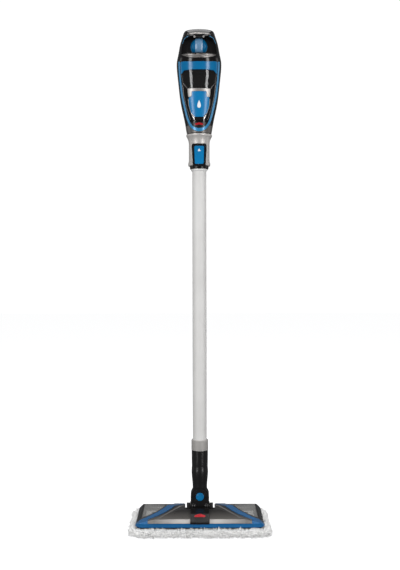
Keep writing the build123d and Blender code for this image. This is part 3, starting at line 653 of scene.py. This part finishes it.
class MOP_OT_details(bpy.types.Operator):
    """Add the thin painted highlight lines, the blank badges and the small marks"""

    bl_idname = "mop.details"
    bl_label = "Lines and Badges"

    def rim_highlights(self):
        """Painted highlights: blue lines on the upper corners of the finger recess, where its edges catch the
        light.
        """
        # painted highlight lines along the recess's upper edges
        line = painted_metal("rim_blue_highlight", (0.03, 0.20, 0.38), 0.3, 0.2, 0.2, 0.1 * MM).material
        for side, name in ((-1, "rim_highlight_left"), (1, "rim_highlight_right")):
            spine = [(side * x, -0.05, z) for x, z in (
                (0.0245, 1.1612), (0.0290, 1.1594), (0.0330, 1.1574), (0.0354, 1.1540), (0.0372, 1.1495),
                (0.0388, 1.1450))]
            dress(ribbon(name, spine, "front_housing", FRONT, 1.3 * MM, RIM_THICK), line, "handset")

    def marks(self):
        """Blank badges and plain marks where the real one is printed."""
        red = moulded("badge_red", (0.45, 0.012, 0.02), 0.25, 0.3, 0.1 * MM).material
        white = moulded("mark_white", (0.85, 0.86, 0.88), 0.35, 0.0, 0.1 * MM).material
        plate = [(x, -0.05, z) for x, z in (
            (-0.0075, 0.9562), (0.0075, 0.9562), (0.0105, 0.9594), (0.0055, 0.9606), (0.0, 0.9622),
            (-0.0055, 0.9606), (-0.0105, 0.9594))]
        dress(laid("badge_tank", plate, "bay_apron", FRONT, 0.5 * MM), red, "handset")
        plate = [(x, y, 0.05) for x, y in (
            (-0.0125, -0.0615), (0.0125, -0.0615), (0.0125, -0.0570), (0.0050, -0.0540), (0.0, -0.0525),
            (-0.0050, -0.0540), (-0.0125, -0.0570))]
        dress(laid("badge_head", plate, "badge_block", DOWN, 0.4 * MM), red, "head")
        drop = []
        for k in range(DROP_POINTS):
            angle = 2 * math.pi * k / DROP_POINTS
            taper = 0.5 * (1 + math.sin(angle))
            across = 0.0058 * math.cos(angle) * (1 - 0.78 * taper)
            drop.append((across, -0.05, 1.0025 + 0.0085 * math.sin(angle)))
        dress(laid("mark_drop", drop, "tank_panel", FRONT, MARK_THICK), white, "tank")
        arrow = [(x, -0.05, z) for x, z in ((-0.0036, 0.8955), (0.0036, 0.8955), (0.0, 0.9015))]
        dress(laid("mark_arrow", arrow, "release_button", FRONT, MARK_THICK), white, "release_button")

    def box(self, name, centre, size, material, body):
        """Small rounded block."""
        rest()
        bpy.ops.mesh.primitive_cube_add(size=1.0, location=centre)
        block = bpy.context.object
        block.name = name
        block.scale = size
        settle(block)
        bpy.ops.object.mode_set(mode="EDIT")
        bpy.ops.mesh.select_all(action="SELECT")
        bpy.ops.mesh.bevel(offset=min(size) * 0.2, segments=2)
        done()
        dress(block, material, body)

    def slot(self, colours):
        """Dark slot between two silver posts at the top of the finger recess."""
        silver = painted_metal("slot_silver", shaded(colours.silver, 0.9), 0.3, 0.5, 0.0, 0.15 * MM).material
        dark = moulded("slot_black", shaded(colours.black, 0.6), 0.5).material
        self.box("slot_dark", (0, -0.0405, 1.1585), (0.0172, 0.0016, 0.0046), dark, "handset")
        for side, name in ((-1, "slot_post_left"), (1, "slot_post_right")):
            self.box(name, (side * 0.0106, -0.0405, 1.1585), (0.0036, 0.0016, 0.0048), silver, "handset")

    def tank_highlight_lines(self):
        """Painted highlights: light lines where the clear tank turns the corner, and along the bay's inner
        edge.
        """
        # painted highlight lines: pale on the tank's edges, dull grey on its top corners and along the bay's
        # inner edge
        line = painted_metal("tank_edge_highlight", (0.52, 0.50, 0.48), 0.22, 0.5, 0.3, 0.1 * MM).material
        dull_highlight = painted_metal("bay_edge_highlight", (0.20, 0.19, 0.185), 0.26, 0.5, 0.2, 0.1 * MM).material
        for side, name in ((-1, "left"), (1, "right")):
            spine = [(side * x, -0.05, z) for x, z in (
                (0.0372, 1.0525), (0.0330, 1.0465), (0.0290, 1.0415), (0.0268, 1.0370))]
            dress(ribbon("corner_" + name, spine, "tank_shell", FRONT, 1.5 * MM, LINE_THICK), dull_highlight, "tank")
            spine = [(side * x, -0.05, z) for x, z in (
                (0.0254, 1.0150), (0.0248, 1.0085), (0.0241, 1.0015), (0.0214, 0.9925), (0.0184, 0.9840),
                (0.0150, 0.9765), (0.0124, 0.9712))]
            dress(ribbon("edge_" + name, spine, "tank_shell", FRONT, 1.4 * MM, LINE_THICK), line, "tank")
            spine = [(side * x, -0.05, z) for x, z in (
                (0.0385, 1.0480), (0.0375, 1.0380), (0.0360, 1.0270), (0.0341, 1.0170), (0.0316, 1.0060),
                (0.0284, 0.9950), (0.0252, 0.9850), (0.0226, 0.9760), (0.0205, 0.9690))]
            bay = ribbon("bay_" + name, spine, "front_housing", FRONT, 1.1 * MM, LINE_THICK)
            dress(bay, dull_highlight, "handset")

    def execute(self, context):
        c = context.scene.mop_colours
        self.rim_highlights()
        self.marks()
        self.slot(c)
        self.tank_highlight_lines()
        return {"FINISHED"}


class MOP_OT_pad(bpy.types.Operator):
    """Make the puffed microfibre pad with its pile"""

    bl_idname = "mop.pad"
    bl_label = "Microfibre Pad"

    def body(self, sizes):
        """The pad's slab with rounded corners and a soft rim."""
        low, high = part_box("mop_pad")
        size = high - low
        rest()
        bpy.ops.mesh.primitive_cube_add(size=1.0, location=(low + high) / 2)
        pad = bpy.context.object
        pad.name = "microfibre_pad"
        pad.scale = (size.x - 2 * PAD_INSET, size.y - 2 * PAD_INSET, size.z - PAD_SQUEEZE)
        settle(pad)
        pick(pad, lambda e: abs(e.verts[0].co.z - e.verts[1].co.z) > 1.0 * MM, "EDGE")
        bpy.ops.mesh.bevel(offset=PAD_CORNER, segments=8, affect="EDGES")
        done()
        pick(pad, lambda e: min(v.co.z for v in e.verts) > (low.z + high.z) / 2, "EDGE")
        bpy.ops.mesh.bevel(offset=PAD_RIM, segments=3, affect="EDGES")
        done()
        pad.data.remesh_voxel_size = sizes.pad_voxel
        bpy.ops.object.voxel_remesh()
        return pad

    def puff(self, pad, sizes):
        """Short cloth run under air pressure, then a cap on how far a point moved."""
        start = [v.co.copy() for v in pad.data.vertices]
        cloth = pad.modifiers.new("cloth", "CLOTH")
        cloth.settings.use_pressure = True
        cloth.settings.uniform_pressure_force = PUFF_PRESSURE
        cloth.settings.effector_weights.gravity = 0.0
        scene = bpy.context.scene
        for number in range(1, PUFF_FRAMES + 1):
            scene.frame_set(number)
        take(pad)
        bpy.ops.object.modifier_apply(modifier=cloth.name)
        scene.frame_set(1)
        for vertex, first in zip(pad.data.vertices, start):
            move = vertex.co - first
            if move.length > sizes.pad_swell:
                vertex.co = first + move.normalized() * sizes.pad_swell

    def flatten(self, pad):
        """Keeps the pad on the floor and under the base plate."""
        floor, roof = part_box("mop_pad")[0].z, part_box("mop_pad")[1].z
        low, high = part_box("foot_base")
        for vertex in pad.data.vertices:
            co = vertex.co
            co.z = max(co.z, floor + 0.6 * MM)
            if low.x - 0.002 < co.x < high.x + 0.002 and low.y - 0.002 < co.y < high.y + 0.002:
                co.z = min(co.z, roof - 1.0 * MM)

    def pile(self, pad, sizes):
        """Bent tapered tufts over the sides, the rim and below the windows."""
        draw = random.Random(sizes.seed)
        low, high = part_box("foot_cover")
        edge_low, edge_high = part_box("end_cap_left")[0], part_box("end_cap_right")[1]
        left, right = min(edge_low.x, -edge_high.x), max(edge_high.x, -edge_low.x)
        win = [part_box("window_left"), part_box("window_right")]
        verts, faces = [], []
        for face in pad.data.polygons:
            at, normal = face.center, face.normal
            under = left - 1 * MM < at.x < right + 1 * MM and low.y < at.y < high.y and normal.z > 0.2
            shown = any(a.x < at.x < b.x and a.y < at.y < b.y for a, b in win)
            if normal.z < -0.6 or (under and not shown):
                continue
            clump = noise.noise_vector(at * 95.0)
            thick = 0.5 + 0.5 * noise.noise(at * 60.0)
            length = sizes.tuft_length * draw.uniform(0.55, 1.2) * (0.35 if under else 0.65 + 0.6 * thick)
            lean = Vector((draw.gauss(0, 0.35), draw.gauss(0, 0.35), draw.gauss(0, 0.3) - 0.1)) + clump * 0.9
            way = (normal * 1.0 + lean * 0.8).normalized()
            bend = Vector((draw.gauss(0, 1), draw.gauss(0, 1), draw.gauss(-0.3, 0.8))) * 0.3
            turn = Vector((draw.uniform(-1, 1), draw.uniform(-1, 1), draw.uniform(-1, 1)))
            side = way.cross(turn).normalized()
            other = way.cross(side)
            width = sizes.tuft_width * draw.uniform(0.7, 1.15) / 2
            stray = Vector((draw.uniform(-1, 1), draw.uniform(-1, 1), draw.uniform(-1, 1)))
            root = at + (stray - normal) * ROOT_DEPTH
            first = len(verts)
            rings = ((0.0, 0.8), (0.4, 1.0), (0.8, 0.72))
            for t, girth in rings:
                mid = root + (way * t + bend * t * t) * length
                for k in range(TUFT_SIDES):
                    angle = 2 * math.pi / TUFT_SIDES * k
                    spread = (side * math.cos(angle) + other * math.sin(angle)) * width * girth
                    point = mid + spread
                    point.z = max(point.z, FLOOR_GAP)
                    verts.append(point)
            tip = root + (way + bend) * length
            tip.z = max(tip.z, FLOOR_GAP)
            verts.append(tip)
            for ring in range(2):
                for k in range(4):
                    a = first + ring * 4 + k
                    b = first + ring * 4 + (k + 1) % 4
                    faces.append((a, b, b + 4, a + 4))
            for k in range(4):
                faces.append((first + 8 + k, first + 8 + (k + 1) % 4, first + 12))
            faces.append((first + 3, first + 2, first + 1, first))
        mesh = bpy.data.meshes.new("pile")
        mesh.from_pydata(verts, [], faces)
        tufts = bpy.data.objects.new("pile", mesh)
        bpy.context.scene.collection.objects.link(tufts)
        return tufts

    def execute(self, context):
        sizes = context.scene.mop_sizes
        pad = self.body(sizes)
        self.puff(pad, sizes)
        smooth = pad.modifiers.new("finer", "SUBSURF")
        smooth.levels = smooth.render_levels = 1
        apply_all(pad)
        self.flatten(pad)
        tufts = self.pile(pad, sizes)
        rest()
        tufts.select_set(True)
        pad.select_set(True)
        context.view_layer.objects.active = pad
        bpy.ops.object.join()
        pad = context.object
        take(pad)
        bpy.ops.object.shade_smooth()
        pad.data.materials.clear()
        pad.data.materials.append(microfibre("pad_microfibre", context.scene.mop_colours.pad).material)
        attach(pad, "head")
        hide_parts("mop_pad")
        return {"FINISHED"}


class MOP_OT_stage(bpy.types.Operator):
    """Set the pale floor, the white surroundings, the studio lights and the camera"""

    bl_idname = "mop.stage"
    bl_label = "Studio"

    def lamp(self, name, place, aim, size, power):
        """One soft rectangular light that looks at a point."""
        data = bpy.data.lights.new(name, "AREA")
        data.shape = "RECTANGLE"
        data.size, data.size_y = size
        data.energy = power
        lamp = bpy.data.objects.new(name, data)
        bpy.context.scene.collection.objects.link(lamp)
        lamp.location = place
        lamp.rotation_euler = (Vector(aim) - Vector(place)).to_track_quat("-Z", "Y").to_euler()

    def floor(self):
        """Pale floor that the mop stands on; it sends no light back onto the mop."""
        rest()
        bpy.ops.mesh.primitive_plane_add(size=FLOOR_SIZE)
        floor = bpy.context.object
        floor.name = "floor"
        pale = Shade("floor_pale").surface.inputs
        pale["Base Color"].default_value = (0.35, 0.35, 0.36, 1.0)
        pale["Roughness"].default_value = 0.9
        pale["Specular IOR Level"].default_value = 0.0
        pale["Emission Color"].default_value = (1.0, 1.0, 1.0, 1.0)
        pale["Emission Strength"].default_value = 0.93
        floor.data.materials.append(bpy.data.materials["floor_pale"])
        floor.visible_diffuse = floor.visible_glossy = floor.visible_transmission = False

    def execute(self, context):
        scene = context.scene
        view = scene.mop_stage
        self.floor()
        world = bpy.data.worlds.new("studio")
        scene.world = world
        world.use_nodes = True
        tree = world.node_tree
        tree.nodes.clear()
        out = tree.nodes.new("ShaderNodeOutputWorld")
        seen = tree.nodes.new("ShaderNodeBackground")
        seen.inputs[0].default_value = (1, 1, 1, 1)
        seen.inputs[1].default_value = 1.05
        lit = tree.nodes.new("ShaderNodeBackground")
        lit.inputs[0].default_value = (0.93, 0.96, 1, 1)
        lit.inputs[1].default_value = view.fill
        path = tree.nodes.new("ShaderNodeLightPath")
        blend = tree.nodes.new("ShaderNodeMixShader")
        tree.links.new(path.outputs["Is Camera Ray"], blend.inputs[0])
        tree.links.new(lit.outputs[0], blend.inputs[1])
        tree.links.new(seen.outputs[0], blend.inputs[2])
        tree.links.new(blend.outputs[0], out.inputs[0])
        for side, name in ((-1, "left"), (1, "right")):
            self.lamp("strip_" + name, (side * 1.35, -1.75, 0.85), (0, 0, 0.65), (0.45, 2.4), view.key)
            self.lamp("edge_" + name, (side * 1.9, 0.3, 0.9), (0, 0, 0.65), (0.6, 2.0), view.key * 0.14)
        self.lamp("overhead", (0, 0.2, 2.5), (0, 0, 0.2), (1.8, 1.2), view.key * 0.8)
        data = bpy.data.cameras.new("camera")
        data.lens = view.lens
        data.sensor_width = 36.0
        data.clip_end = 60.0
        camera = bpy.data.objects.new("camera", data)
        scene.collection.objects.link(camera)
        camera.location = (view.aside, -view.distance, view.height)
        camera.rotation_euler = (math.pi / 2 - view.pitch, view.roll, 0)
        scene.camera = camera
        scene.view_settings.view_transform = "Standard"
        return {"FINISHED"}


class MOP_PT_panel(bpy.types.Panel):
    """Lists the mop's builders"""

    bl_idname = "MOP_PT_panel"
    bl_label = "Steam Mop"
    bl_space_type = "VIEW_3D"
    bl_region_type = "UI"
    bl_category = "Steam Mop"

    def draw(self, context):
        for operator in BUILDERS:
            self.layout.operator(operator.bl_idname)
        for group in (context.scene.mop_sizes, context.scene.mop_colours, context.scene.mop_stage):
            for key in group.__annotations__:
                self.layout.prop(group, key)


BUILDERS = (MOP_OT_stage, MOP_OT_handset, MOP_OT_tank, MOP_OT_wand, MOP_OT_head, MOP_OT_pad, MOP_OT_details)
CLASSES = (MopSizes, MopColours, MopStage, *BUILDERS, MOP_PT_panel)


def register():
    """Registers the classes and their settings."""
    for cls in CLASSES:
        bpy.utils.register_class(cls)
    bpy.types.Scene.mop_sizes = bpy.props.PointerProperty(type=MopSizes)
    bpy.types.Scene.mop_colours = bpy.props.PointerProperty(type=MopColours)
    bpy.types.Scene.mop_stage = bpy.props.PointerProperty(type=MopStage)


def unregister():
    """Removes the settings and the classes."""
    del bpy.types.Scene.mop_stage
    del bpy.types.Scene.mop_colours
    del bpy.types.Scene.mop_sizes
    for cls in reversed(CLASSES):
        bpy.utils.unregister_class(cls)


def main():
    """Builds everything in order."""
    register()
    for operator in BUILDERS:
        group, name = operator.bl_idname.split(".")
        getattr(getattr(bpy.ops, group), name)()


if __name__ == "__main__":
    main()
